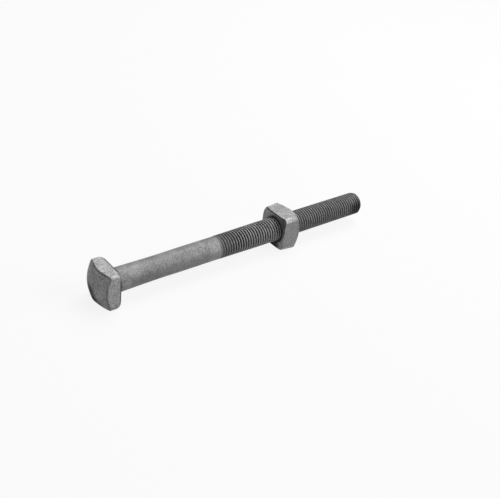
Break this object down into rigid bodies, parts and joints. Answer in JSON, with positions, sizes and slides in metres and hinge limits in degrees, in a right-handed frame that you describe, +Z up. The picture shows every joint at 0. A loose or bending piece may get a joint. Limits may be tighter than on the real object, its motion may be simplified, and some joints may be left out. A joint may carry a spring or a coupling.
{
  "type": "machine bolt",
  "caption": "Machine bolt with a domed square head, a plain shank and a long metric thread, carrying a square nut that runs along the thread.",
  "frame": {"origin": "centre of the head's bearing face, on the bolt's axis", "axes": "+X along the shank to the threaded end, +Z up with the bolt lying on one flat of its head and one flat of its nut"},
  "size_m": [0.213, 0.024, 0.024],
  "materials": {
    "galvanised_bolt": "forged steel, hot-dip galvanised, matte and mottled",
    "galvanised_nut": "forged steel, hot-dip galvanised, matte and mottled"
  },
  "bodies": {
    "bolt": {"machine_bolt": "galvanised_bolt"},
    "nut": {"square_nut": "galvanised_nut"}
  },
  "joints": [
    {"name": "nut_travel", "type": "slide", "parent": "bolt", "child": "nut", "axis": [1, 0, 0], "range_m": [-0.046, 0.062]}
  ]
}
